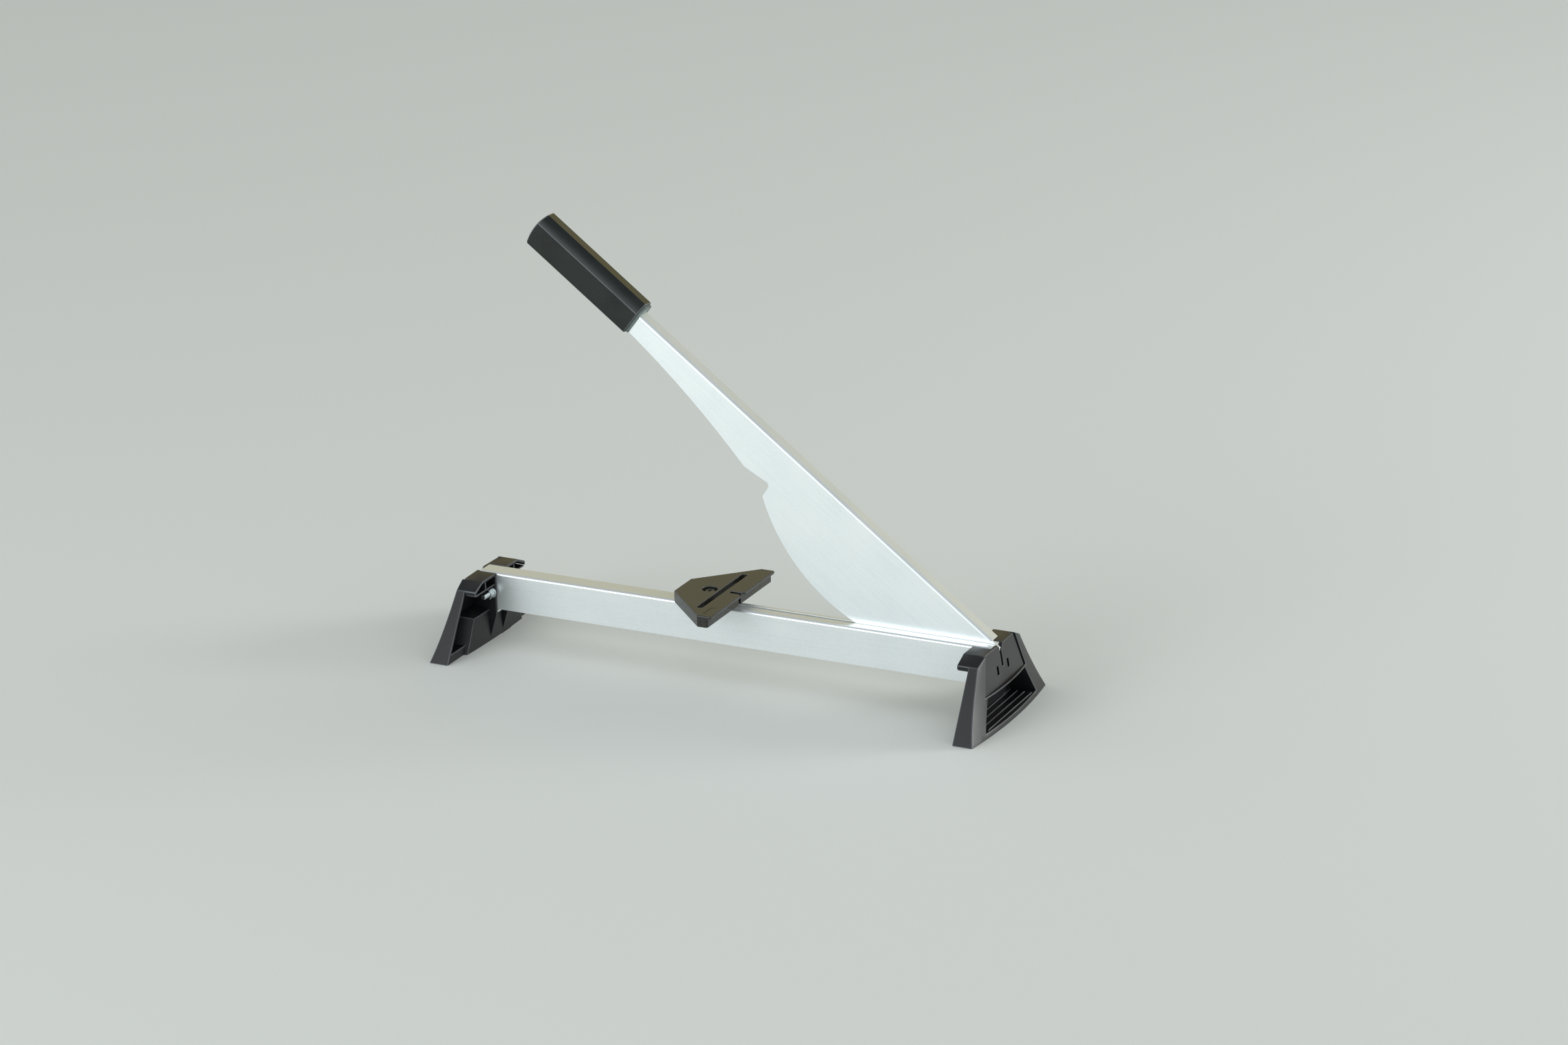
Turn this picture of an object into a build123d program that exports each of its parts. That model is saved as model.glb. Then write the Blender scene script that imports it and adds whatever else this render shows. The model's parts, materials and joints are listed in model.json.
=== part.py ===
"""Laminate cutter: a folded steel lever blade hinged over a slotted steel beam on two plastic feet.

Millimetres, +Z up. The origin lies on the floor, under the middle of the beam.
+X runs along the beam to the lever's pivot, +Y points to the back.
"""
from build123d import *
from math import cos, radians, sin, sqrt
import os

os.makedirs("parts", exist_ok=True)

overrun = 4.0

# Beam: an inverted channel of plated sheet steel
beam_length = 528.0
beam_width = 21.0
beam_height = 36.5
beam_sheet = 2.0
beam_bend = 2.6
deck_height = 68.75
beam_bottom = deck_height - beam_height
beam_end = beam_length / 2

# Lever: one folded sheet with the blade, drawn along the lever from its pivot
lever_angle = 37.2
sheet = 2.5
blade_y = 2.5
blade_front = blade_y - sheet / 2
blade_back = blade_y + sheet / 2
blade_gap = 0.55
slot_width = sheet + 2 * blade_gap
flange_width = 13.75
flange_top = 22.9
flange_start = 6.5
flange_inner_bend = 0.5
flange_bend = sheet + flange_inner_bend
tang_end = 560.0
tang_low = 3.6
hub_radius = 13.0
tail_reach = 3.0
neck_root = (284.8, -19.8)
neck_middle = (370.0, -4.8)
neck_end_height = 2.0
notch_edge = (258.4, -15.8)
notch_corner = (255.1, -18.0)
heel_corner = (254.1, -30.0)
heel = (252.8, -31.0)
edge_middle = (187.8, -60.1)
edge_end = (30.0, -22.3)

# Cross bolts: the lever's pivot at the right, the beam's clamp bolt at the left
bolt_setback = 12.7
bolt_drop = 19.25
bolt_x = beam_end - bolt_setback
bolt_height = deck_height - bolt_drop
bolt_diameter = 6.0
bolt_play = 0.08
bolt_tail = 8.5
head_flats = 10.0
head_height = 4.0
nut_height = 5.2
hexagon_sides = 6
bolt_point = 0.7
washer_diameter = 12.5
washer_thickness = 1.2
spacer_diameter = 14.0
spacer_gap = 0.3
sleeve_diameter = 10.0
rest_pin_setback = 15.4
rest_pin_x = beam_end - rest_pin_setback
rest_pin_diameter = 5.0
rest_pin_gap = 0.1
rest_pin_grip = 2.2
rest_pin_play = 0.06

# Feet: one hollow moulding used twice, turned half round
foot_y = blade_y
foot_top_width = 69.0
foot_base_width = 174.0
foot_top_reach = 6.8
foot_top_x = beam_end + foot_top_reach
foot_top_radius = 205.0
foot_low_reach = 19.2
foot_low_x = beam_end + foot_low_reach
foot_low_radius = 627.0
foot_wall = 2.4
panel_top_reach = 3.0
panel_top_x = beam_end + panel_top_reach
panel_top_radius = 1100.0
panel_low_reach = 15.5
panel_low_x = beam_end + panel_low_reach
panel_low_radius = 750.0
hood_setback = 18.0
hood_x = beam_end - hood_setback
hood_width = 98.0
hood_chamfer = 6.3
hood_lip = 6.2
leg_setback = 6.5
leg_x = beam_end - leg_setback
leg_rim = 9.0
cheek_wall = 3.0
cheek_foot_setback = 10.5
cheek_foot_x = beam_end - cheek_foot_setback
cheek_foot_height = 2.0
seat_setback = 11.0
seat_x = beam_end - seat_setback
seat_thickness = 3.0
pan_back_setback = 11.4
pan_back_x = beam_end - pan_back_setback
pan_bow = 4.0
pan_floor = 5.0
pan_drop = 34.35
pan_top = deck_height - pan_drop
pan_back_drop = 4.2
pan_top_width = 95.0
pan_bottom_width = 123.0
pan_taper = 9.0
pan_wall = 2.6
ridge_count = 4
ridge_pitch = 7.0
ridge_width = 1.3
ridge_height = 1.2
ridge_length = 102.0
slit_depth = 20.0
slit_notch_front = 4.0
slit_notch_back = 7.0
slit_notch_depth = 6.3
window_width = 4.4
window_height = 8.2
window_drop = 20.95
window_centre = deck_height - window_drop
window_spread = 23.4
groove_width = 2.0
groove_depth = 3.2

# Stop: a plastic fence plate that swivels on its screw
swivel_x = -25.6
stop_gap = 0.2
stop_height = 11.3
stop_skin = 2.5
lip_reach = 3.7
lip_chamfer = 0.5
fence_x = 9.0
fence_length = 137.0
stop_side = 14.0
stop_back_x = -54.3
stop_back_length = 35.0
stop_corner = 2.2
stop_wall = 2.6
stop_slot_x = -12.8
stop_slot_width = 6.0
stop_slot_length = 98.0
stop_notch_width = 5.0
stop_notch_depth = 13.7
stop_mouth_width = 11.8
stop_mouth_depth = 3.4
screw_diameter = 6.0
screw_pocket = 15.0
screw_pocket_depth = 6.2
screw_head_diameter = 11.0
screw_head_height = 3.4
screw_head_bevel = 1.2
screw_cross_length = 5.6
screw_cross_width = 1.3
screw_cross_depth = 1.8
screw_tail = 1.6
screw_washer = 13.6
boss_wall = 2.6
rib_thickness = 2.0

# Grip: a hard core on the lever's tang inside a soft sleeve
tang_hold = 110.3
grip_start = tang_end - tang_hold
grip_length = 127.0
grip_width = 22.3
grip_front_gap = 3.5
grip_low = -1.0
grip_ridge = 23.4
grip_crest = 34.0
grip_crest_set = 6.4
grip_shoulder_radius = 20.0
grip_back_top = 31.4
grip_corner = 3.0
grip_dome = 4.2
grip_wall = 2.0
grip_fit = 0.1
core_reach = 2.6
core_end_wall = 5.0

foot_low_half = foot_base_width / 2
foot_top_half = foot_top_width / 2
hood_half = hood_width / 2
hood_height = deck_height - hood_chamfer
lip_height = hood_height - hood_lip
cheek_inner = beam_width / 2
cheek_outer = cheek_inner + cheek_wall
rest_pin_height = beam_bottom - rest_pin_gap - rest_pin_diameter / 2
slope = (foot_low_half - hood_half) / hood_height


def lever_plane(along, side):
    """Plane of the sheet: x runs from the pivot to the grip, y points up off the lever."""
    across = radians(lever_angle)
    place = (bolt_x - along * cos(across), side, bolt_height + along * sin(across))
    return Plane(origin=place, x_dir=(-cos(across), 0, sin(across)), z_dir=(0, 1, 0))


def section_plane(along):
    """Plane across the lever: x runs to the back, y up off the lever, normal to the pivot."""
    across = radians(lever_angle)
    place = (bolt_x - along * cos(across), 0, bolt_height + along * sin(across))
    return Plane(origin=place, x_dir=(0, 1, 0), z_dir=(cos(across), 0, -sin(across)))


def cross_plane(y):
    """Upright plane across the bolts: x runs along the beam, y up, normal to the back."""
    return Plane(origin=(0, y, 0), x_dir=(-1, 0, 0), z_dir=(0, 1, 0))


def finish(piece, name):
    """Label a finished piece and write its STEP file."""
    piece.part.label = name
    export_step(piece.part, "parts/" + name + ".step")


# The beam, open below, with the slot that the blade drops through
with BuildPart() as beam:
    with BuildSketch(Plane.YZ.offset(-beam_end)):
        with Locations((0, beam_bottom + beam_height / 2)):
            Rectangle(beam_width, beam_height)
        with Locations((0, beam_bottom - beam_sheet + beam_height / 2)):
            Rectangle(beam_width - 2 * beam_sheet, beam_height, mode=Mode.SUBTRACT)
    extrude(amount=beam_length)
    top_edges = beam.edges().filter_by(Axis.X).group_by(Axis.Z)[-1]
    fillet(top_edges, radius=beam_bend)
    slot_start = fence_x - stop_notch_depth - slot_width
    slot_middle = (slot_start + beam_end + overrun) / 2
    with BuildSketch(Plane.XY.offset(deck_height + overrun)):
        with Locations((slot_middle, blade_y)):
            SlotOverall(beam_end + overrun - slot_start, slot_width)
    extrude(amount=-(beam_sheet + beam_bend + overrun), mode=Mode.SUBTRACT)
    with BuildSketch(Plane.XZ.offset(-beam_width)):
        with Locations((-bolt_x, bolt_height), (bolt_x, bolt_height)):
            Circle(bolt_diameter / 2 + bolt_play)
    extrude(amount=2 * beam_width, mode=Mode.SUBTRACT)
    with BuildSketch(Plane.XY.offset(deck_height + overrun)):
        with Locations((swivel_x, foot_y)):
            Circle(screw_diameter / 2 + bolt_play)
    extrude(amount=-(beam_sheet + 2 * overrun), mode=Mode.SUBTRACT)
finish(beam, "beam")


def plan_line(x, radius):
    """Plan of an outer face: an arc that stands furthest out at the foot's middle."""
    half = foot_low_half + 2 * overrun
    drop = radius - sqrt(radius**2 - half**2)
    ThreePointArc((x - drop, foot_y - half), (x, foot_y), (x - drop, foot_y + half))
    return x - drop, half


def leaning_block(back_x, top_x, top_radius, low_x, low_radius):
    """Block behind a leaning outer face, ruled from an arc on the floor to one at the top."""
    with BuildPart() as block:
        for height, x, radius in ((0, low_x, low_radius), (deck_height, top_x, top_radius)):
            with BuildSketch(Plane.XY.offset(height)):
                with BuildLine():
                    end_x, half = plan_line(x, radius)
                    Polyline((end_x, foot_y + half), (back_x, foot_y + half),
                             (back_x, foot_y - half), (end_x, foot_y - half))
                make_face()
        loft(ruled=True)
    return block.part


def foot_outline(shrink, low):
    """Front view of the foot: flat top, chamfers and legs that spread down to the low level."""
    with BuildSketch() as outline:
        with BuildLine():
            half = hood_half + slope * (hood_height - low)
            Polyline((foot_y - half, low), (foot_y - hood_half, hood_height),
                     (foot_y - foot_top_half, deck_height), (foot_y + foot_top_half, deck_height),
                     (foot_y + hood_half, hood_height), (foot_y + half, low), close=True)
        make_face()
        if shrink > 0:
            offset(amount=-shrink, kind=Kind.INTERSECTION, mode=Mode.REPLACE)
    return outline.sketch


def hood_outline():
    """Front view of the hood, which overhangs the cross bolt."""
    with BuildSketch() as outline:
        with BuildLine():
            Polyline((foot_y - hood_half, lip_height), (foot_y - hood_half, hood_height),
                     (foot_y - foot_top_half, deck_height), (foot_y + foot_top_half, deck_height),
                     (foot_y + hood_half, hood_height), (foot_y + hood_half, lip_height), close=True)
        make_face()
    return outline.sketch


def pan_shape(shrink, back_x, low):
    """The hand hold: a tapering tray that is narrower and lower at its back."""
    front_x = foot_low_x + overrun
    reach = (front_x - back_x) / (foot_low_x - pan_back_x)
    with BuildPart() as pan:
        for x, taper, drop in ((front_x, 0, 0), (back_x, pan_taper * reach, pan_back_drop * reach)):
            top = pan_top - drop - shrink
            with BuildSketch(Plane.YZ.offset(x)):
                with BuildLine():
                    wide = pan_bottom_width / 2 - taper - shrink
                    narrow = pan_top_width / 2 - taper - shrink
                    Polyline((foot_y - wide, low), (foot_y - narrow, top), (foot_y + narrow, top),
                             (foot_y + wide, low), close=True)
                make_face()
        loft(ruled=True)
    return pan.part


def bow_plan(x, bow, depth):
    """Plan region from a bowed back out past the foot's outer face."""
    front_x = foot_low_x + 2 * overrun
    half = foot_low_half
    with BuildPart() as region:
        with BuildSketch(Plane.XY.offset(-overrun)):
            with BuildLine():
                ThreePointArc((x + bow, foot_y - half), (x, foot_y), (x + bow, foot_y + half))
                Polyline((x + bow, foot_y + half), (front_x, foot_y + half),
                         (front_x, foot_y - half), (x + bow, foot_y - half))
            make_face()
        extrude(amount=depth + 2 * overrun)
    return region.part


foot_depth = foot_low_x - hood_x + 2 * overrun
block_back = hood_x - foot_low_half
envelope = leaning_block(block_back, foot_top_x, foot_top_radius, foot_low_x, foot_low_radius)
behind_panel = leaning_block(block_back, panel_top_x, panel_top_radius, panel_low_x, panel_low_radius)
hollow = leaning_block(block_back, panel_top_x - foot_wall, panel_top_radius,
                       panel_low_x - foot_wall, panel_low_radius)
behind_groove = leaning_block(block_back, panel_top_x - groove_depth, panel_top_radius,
                              panel_low_x - groove_depth, panel_low_radius)
cavity_face = foot_outline(foot_wall, -2 * overrun)
leg_face = foot_outline(0, 0)
hood_face = hood_outline()
tray_back = bow_plan(pan_back_x, pan_bow, deck_height)
tray_front = bow_plan(pan_back_x + pan_wall, pan_bow, deck_height)
tray_outer = pan_shape(-pan_wall, pan_back_x - overrun, 0) & envelope & tray_back
tray_inner = pan_shape(0, pan_back_x - overrun, pan_floor) & tray_front

with BuildPart() as foot_cavity:
    with BuildSketch(Plane.YZ.offset(hood_x - overrun)):
        add(cavity_face)
        with Locations((foot_y, leg_rim)):
            Rectangle(2 * foot_base_width, foot_base_width, align=(Align.CENTER, Align.MAX),
                      mode=Mode.SUBTRACT)
    extrude(amount=foot_depth)
    with BuildSketch(Plane.YZ.offset(leg_x + foot_wall)):
        add(cavity_face)
        with Locations((foot_y, leg_rim - foot_wall)):
            Rectangle(2 * foot_base_width, foot_base_width, align=(Align.CENTER, Align.MIN),
                      mode=Mode.SUBTRACT)
    extrude(amount=foot_depth)
    add(hollow, mode=Mode.INTERSECT)


def panel_outline(inset):
    """Front view of the leaning panel's place, which widens down to the hand hold."""
    low = pan_top_width / 2 - inset
    high = foot_top_half - inset
    with BuildSketch() as outline:
        with BuildLine():
            Polyline((foot_y - low, pan_top), (foot_y - high, deck_height),
                     (foot_y - high, deck_height + overrun), (foot_y + high, deck_height + overrun),
                     (foot_y + high, deck_height), (foot_y + low, pan_top), close=True)
        make_face()
    return outline.sketch


# What is cut away to sink the leaning panel and part it from the legs by two gaps
with BuildPart() as panel_sink:
    with BuildSketch(Plane.YZ.offset(leg_x + foot_wall)):
        add(panel_outline(0))
    extrude(amount=foot_depth)
    with BuildSketch(Plane.YZ.offset(leg_x + foot_wall)):
        add(panel_outline(groove_width))
    extrude(amount=foot_depth, mode=Mode.SUBTRACT)
    add(behind_groove, mode=Mode.SUBTRACT)
with BuildPart() as panel_front:
    with BuildSketch(Plane.YZ.offset(leg_x)):
        add(panel_outline(0))
    extrude(amount=foot_depth)
    add(behind_panel, mode=Mode.SUBTRACT)

# One foot: skin and legs, hood, bolt cheeks, beam seat and the tray of the hand hold
with BuildPart() as foot_right:
    with BuildSketch(Plane.YZ.offset(leg_x)):
        add(leg_face)
    extrude(amount=foot_depth)
    with BuildSketch(Plane.YZ.offset(hood_x)):
        add(hood_face)
    extrude(amount=foot_depth)
    add(envelope, mode=Mode.INTERSECT)
    add(foot_cavity.part, mode=Mode.SUBTRACT)
    with BuildSketch(Plane.XZ.offset(-cheek_outer)):
        with BuildLine():
            Polyline((hood_x, deck_height), (hood_x, beam_bottom - rest_pin_diameter),
                     (cheek_foot_x, cheek_foot_height), (panel_low_x, cheek_foot_height),
                     (panel_top_x, deck_height), close=True)
        make_face()
    extrude(amount=cheek_wall)
    with BuildSketch(Plane.XZ.offset(cheek_inner)):
        with BuildLine():
            Polyline((hood_x, deck_height), (hood_x, beam_bottom - rest_pin_diameter),
                     (cheek_foot_x, cheek_foot_height), (panel_low_x, cheek_foot_height),
                     (panel_top_x, deck_height), close=True)
        make_face()
    extrude(amount=cheek_wall)
    with BuildSketch(Plane.XZ.offset(-cheek_outer)):
        with BuildLine():
            Polyline((seat_x, beam_bottom), (seat_x, beam_bottom - seat_thickness),
                     (panel_low_x, beam_bottom - seat_thickness), (panel_low_x, beam_bottom),
                     close=True)
        make_face()
    extrude(amount=2 * cheek_outer)
    add(tray_outer)
    add(tray_inner, mode=Mode.SUBTRACT)
    add(envelope, mode=Mode.INTERSECT)
    ridge_start = pan_back_x + pan_wall + ridge_width
    with BuildSketch(Plane.XY.offset(pan_floor)):
        for step in range(ridge_count):
            with Locations((ridge_start + step * ridge_pitch, foot_y)):
                Rectangle(ridge_width, ridge_length)
    extrude(amount=ridge_height)
    channel_top = deck_height - beam_bottom + overrun
    with BuildSketch(Plane.XY.offset(beam_bottom)):
        with Locations((hood_x - overrun, 0)):
            Rectangle(beam_end - hood_x + overrun, beam_width, align=(Align.MIN, Align.CENTER))
    extrude(amount=channel_top, mode=Mode.SUBTRACT)
    with BuildSketch(Plane.XZ.offset(-foot_base_width)):
        with Locations((bolt_x, bolt_height)):
            Circle(bolt_diameter / 2 + bolt_play)
    extrude(amount=2 * foot_base_width, mode=Mode.SUBTRACT)
    with BuildSketch(Plane.XZ.offset(-cheek_inner - rest_pin_grip)):
        with Locations((rest_pin_x, rest_pin_height)):
            Circle(rest_pin_diameter / 2 + rest_pin_play)
    extrude(amount=beam_width + 2 * rest_pin_grip, mode=Mode.SUBTRACT)
    with BuildSketch(Plane.YZ.offset(beam_end)):
        with Locations((foot_y, deck_height - slit_depth)):
            Rectangle(slot_width, slit_depth + overrun, align=(Align.CENTER, Align.MIN))
        with BuildLine():
            low = deck_height - slit_notch_depth
            Polyline((foot_y - slit_notch_front, deck_height), (foot_y - slot_width / 2, low),
                     (foot_y + slot_width / 2, low), (foot_y + slit_notch_back, deck_height),
                     (foot_y + slit_notch_back, deck_height + overrun),
                     (foot_y - slit_notch_front, deck_height + overrun), close=True)
        make_face()
        with Locations((foot_y - window_spread / 2, window_centre),
                       (foot_y + window_spread / 2, window_centre)):
            Rectangle(window_width, window_height)
    extrude(amount=foot_depth, mode=Mode.SUBTRACT)
    add(panel_sink.part, mode=Mode.SUBTRACT)
    add(panel_front.part, mode=Mode.SUBTRACT)
finish(foot_right, "foot_right")

with BuildPart() as foot_left:
    add(foot_right.part, rotation=(0, 0, 180))
finish(foot_left, "foot_left")


# The lever: blade, neck and tang in one sheet, its top edge folded to the back
tang_start = grip_start - core_reach - grip_fit
web_top = flange_top - flange_bend
with BuildPart() as lever_blade:
    with BuildSketch(lever_plane(0, blade_front)):
        with BuildLine():
            Line((0, -hub_radius), edge_end)
            ThreePointArc(edge_end, edge_middle, heel)
            Polyline(heel, heel_corner, notch_corner, notch_edge, neck_root)
            ThreePointArc(neck_root, neck_middle, (tang_start, neck_end_height))
            Polyline((tang_start, neck_end_height), (tang_start, tang_low), (tang_end, tang_low),
                     (tang_end, web_top), (flange_start, web_top), (flange_start, flange_top),
                     (-tail_reach, flange_top), (-hub_radius, 0))
            RadiusArc((-hub_radius, 0), (0, -hub_radius), hub_radius)
        make_face()
        Circle(bolt_diameter / 2 + bolt_play, mode=Mode.SUBTRACT)
    extrude(amount=sheet)
    with BuildSketch(section_plane(flange_start)):
        with BuildLine():
            inner_y = blade_back + flange_inner_bend
            RadiusArc((blade_front, web_top), (blade_front + flange_bend, flange_top), flange_bend)
            Polyline((blade_front + flange_bend, flange_top), (blade_front + flange_width, flange_top),
                     (blade_front + flange_width, flange_top - sheet), (inner_y, flange_top - sheet))
            RadiusArc((inner_y, flange_top - sheet), (blade_back, web_top), -flange_inner_bend)
            Line((blade_back, web_top), (blade_front, web_top))
        make_face()
    extrude(amount=flange_start - tang_end)
finish(lever_blade, "lever_blade")


def grip_section(shrink):
    """Cross-section of the grip: flat front and foot, a rounded shoulder and a sloping top."""
    front = blade_front - grip_front_gap
    back = front + grip_width
    crest = front + grip_crest_set
    with BuildSketch() as section:
        with BuildLine():
            Polyline((front + grip_corner, grip_low), (back - grip_corner, grip_low))
            RadiusArc((back - grip_corner, grip_low), (back, grip_low + grip_corner), -grip_corner)
            Line((back, grip_low + grip_corner), (back, grip_back_top - grip_corner))
            RadiusArc((back, grip_back_top - grip_corner), (back - grip_corner, grip_back_top),
                      -grip_corner)
            Line((back - grip_corner, grip_back_top), (crest, grip_crest))
            RadiusArc((crest, grip_crest), (front, grip_ridge), -grip_shoulder_radius)
            Line((front, grip_ridge), (front, grip_low + grip_corner))
            RadiusArc((front, grip_low + grip_corner), (front + grip_corner, grip_low), -grip_corner)
        make_face()
        if shrink > 0:
            offset(amount=-shrink, kind=Kind.INTERSECTION, mode=Mode.REPLACE)
    return section.sketch


def grip_side(start, end, dome):
    """Side view of a grip length, from its mouth to an end that bulges by the dome."""
    low = grip_low - overrun
    high = grip_crest + overrun
    with BuildPart() as side:
        with BuildSketch(lever_plane(0, blade_y - grip_width)):
            with BuildLine():
                Polyline((end, high), (start, high), (start, low), (end, low))
                ThreePointArc((end, low), (end + dome, (low + high) / 2), (end, high))
            make_face()
        extrude(amount=2 * grip_width)
    return side.part


core_end = grip_start + grip_length - grip_dome - core_end_wall
grip_reach = grip_length + 2 * overrun

# The grip's hard core, with the tang held inside it
with BuildPart() as grip_core:
    with BuildSketch(section_plane(grip_start - core_reach)):
        add(grip_section(grip_wall + grip_fit))
    extrude(amount=grip_start - core_reach - core_end)
    with BuildSketch(section_plane(grip_start - core_reach - overrun)):
        with Locations((blade_front - grip_fit, tang_low - grip_fit)):
            Rectangle(sheet + 2 * grip_fit, flange_top - tang_low + 2 * grip_fit,
                      align=(Align.MIN, Align.MIN))
        with Locations((blade_front - grip_fit, flange_top + grip_fit)):
            Rectangle(flange_width + 2 * grip_fit, sheet + 2 * grip_fit + flange_inner_bend,
                      align=(Align.MIN, Align.MAX))
    extrude(amount=grip_start - core_reach - overrun - tang_end - grip_fit, mode=Mode.SUBTRACT)
finish(grip_core, "grip_core")

# The grip's outer sleeve, open at its mouth and domed at its end
with BuildPart() as grip_sleeve:
    with BuildSketch(section_plane(grip_start)):
        add(grip_section(0))
    extrude(amount=-grip_reach)
    add(grip_side(grip_start, grip_start + grip_length - grip_dome, grip_dome), mode=Mode.INTERSECT)
    with BuildSketch(section_plane(grip_start - overrun)):
        add(grip_section(grip_wall))
    extrude(amount=grip_start - overrun - core_end - grip_fit, mode=Mode.SUBTRACT)
finish(grip_sleeve, "grip_sleeve")


def ring(name, x, y, length, outer, inner):
    """A washer, spacer or sleeve on a cross bolt, from its front face towards the back."""
    with BuildPart() as piece:
        with BuildSketch(cross_plane(y)):
            with Locations((-x, bolt_height)):
                Circle(outer / 2)
                Circle(inner / 2, mode=Mode.SUBTRACT)
        extrude(amount=length)
    finish(piece, name)


def cross_bolt(name, x):
    """Hexagon bolt along +Y: its head at the back and its thread end at the front."""
    back = cheek_outer + washer_thickness
    front = -cheek_outer - washer_thickness - nut_height - bolt_tail
    with BuildPart() as piece:
        with BuildSketch(cross_plane(front)):
            with Locations((-x, bolt_height)):
                Circle(bolt_diameter / 2)
        extrude(amount=back - front)
        chamfer(piece.edges().group_by(Axis.Y)[0], bolt_point)
        with BuildSketch(cross_plane(back)):
            with Locations((-x, bolt_height)):
                RegularPolygon(head_flats / 2, hexagon_sides, major_radius=False)
        extrude(amount=head_height)
    finish(piece, name)


def cross_nut(name, x):
    """Hexagon nut on the front end of a cross bolt."""
    with BuildPart() as piece:
        with BuildSketch(cross_plane(-cheek_outer - washer_thickness - nut_height)):
            with Locations((-x, bolt_height)):
                RegularPolygon(head_flats / 2, hexagon_sides, major_radius=False)
                Circle(bolt_diameter / 2 + bolt_play, mode=Mode.SUBTRACT)
        extrude(amount=nut_height)
    finish(piece, name)


def rest_pin(name, x):
    """Round bar across the cheeks, just under the beam."""
    with BuildPart() as piece:
        with BuildSketch(cross_plane(-cheek_inner - rest_pin_grip)):
            with Locations((-x, rest_pin_height)):
                Circle(rest_pin_diameter / 2)
        extrude(amount=beam_width + 2 * rest_pin_grip)
    finish(piece, name)


# Bolts, nuts, washers and spacers
wall_inner = cheek_inner - beam_sheet
clear_bore = bolt_diameter + 2 * bolt_play
cross_bolt("foot_bolt", -bolt_x)
cross_bolt("pivot_bolt", bolt_x)
cross_nut("foot_bolt_nut", -bolt_x)
cross_nut("pivot_nut", bolt_x)
for title, place in (("foot_bolt", -bolt_x), ("pivot", bolt_x)):
    ring(title + "_washer_front", place, -cheek_outer - washer_thickness, washer_thickness,
         washer_diameter, clear_bore)
    ring(title + "_washer_rear", place, cheek_outer, washer_thickness, washer_diameter, clear_bore)
ring("foot_bolt_sleeve", -bolt_x, -wall_inner, 2 * wall_inner, sleeve_diameter, clear_bore)
ring("pivot_spacer_front", bolt_x, -wall_inner, wall_inner + blade_front - spacer_gap,
     spacer_diameter, clear_bore)
ring("pivot_spacer_rear", bolt_x, blade_back + spacer_gap, wall_inner - blade_back - spacer_gap,
     spacer_diameter, clear_bore)
rest_pin("rest_pin_left", -rest_pin_x)
rest_pin("rest_pin_right", rest_pin_x)


def stop_outline(front_x, shrink):
    """Plan of the stop: a long fence edge, short ends and sides that slant to a narrow back."""
    half = fence_length / 2
    narrow = stop_back_length / 2
    side_x = fence_x - stop_side
    with BuildSketch() as outline:
        with BuildLine():
            Polyline((front_x, foot_y - half), (front_x, foot_y + half), (side_x, foot_y + half),
                     (stop_back_x, foot_y + narrow), (stop_back_x, foot_y - narrow),
                     (side_x, foot_y - half), close=True)
        make_face()
        fillet(outline.vertices(), radius=stop_corner)
        if shrink > 0:
            offset(amount=-shrink, kind=Kind.INTERSECTION, mode=Mode.REPLACE)
    return outline.sketch


def notch_outline(grow):
    """Plan of the notch that the blade's heel drops into, flared where it meets the fence."""
    half = stop_notch_width / 2 + grow
    mouth = stop_mouth_width / 2 + grow
    end_x = fence_x - stop_notch_depth - grow
    with BuildSketch() as outline:
        with BuildLine():
            Polyline((fence_x + overrun, foot_y - mouth), (fence_x, foot_y - mouth))
            Line((fence_x, foot_y - mouth), (fence_x - stop_mouth_depth, foot_y - half))
            Polyline((fence_x - stop_mouth_depth, foot_y - half), (end_x, foot_y - half),
                     (end_x, foot_y + half), (fence_x - stop_mouth_depth, foot_y + half))
            Line((fence_x - stop_mouth_depth, foot_y + half), (fence_x, foot_y + mouth))
            Polyline((fence_x, foot_y + mouth), (fence_x + overrun, foot_y + mouth),
                     (fence_x + overrun, foot_y - mouth))
        make_face()
    return outline.sketch


# The stop: a ribbed, hollow fence plate with a slot, a notch and a sunk screw seat
stop_low = deck_height + stop_gap
stop_top = stop_low + stop_height
screw_seat = stop_top - screw_pocket_depth
body_front_x = fence_x - lip_reach
with BuildPart() as stop_plate:
    with BuildSketch(Plane.XY.offset(stop_low)):
        add(stop_outline(body_front_x, 0))
    extrude(amount=stop_height - stop_skin)
    with BuildSketch(Plane.XY.offset(stop_top - stop_skin)):
        add(stop_outline(fence_x, 0))
    extrude(amount=stop_skin)
    chamfer(stop_plate.edges().group_by(Axis.Z)[-1], lip_chamfer)
    with BuildSketch(Plane.XY.offset(stop_low - overrun)):
        add(stop_outline(body_front_x, stop_wall))
    extrude(amount=overrun + stop_height - stop_skin, mode=Mode.SUBTRACT)
    with BuildSketch(Plane.XY.offset(stop_low)):
        add(notch_outline(stop_wall))
        with Locations((swivel_x, foot_y)):
            Circle(screw_pocket / 2 + boss_wall)
            Rectangle(fence_length, rib_thickness)
        with Locations((stop_slot_x, foot_y)):
            SlotOverall(stop_slot_length + 2 * stop_wall, stop_slot_width + 2 * stop_wall, rotation=90)
        add(stop_outline(body_front_x, 0), mode=Mode.INTERSECT)
    extrude(amount=stop_height - stop_skin)
    with BuildSketch(Plane.XY.offset(stop_low - overrun)):
        add(notch_outline(0))
        with Locations((stop_slot_x, foot_y)):
            SlotOverall(stop_slot_length, stop_slot_width, rotation=90)
        with Locations((swivel_x, foot_y)):
            Circle(screw_diameter / 2 + bolt_play)
    extrude(amount=stop_height + 2 * overrun, mode=Mode.SUBTRACT)
    with BuildSketch(Plane.XY.offset(screw_seat)):
        with Locations((swivel_x, foot_y)):
            Circle(screw_pocket / 2)
    extrude(amount=screw_pocket_depth + overrun, mode=Mode.SUBTRACT)
finish(stop_plate, "stop_plate")

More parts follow.
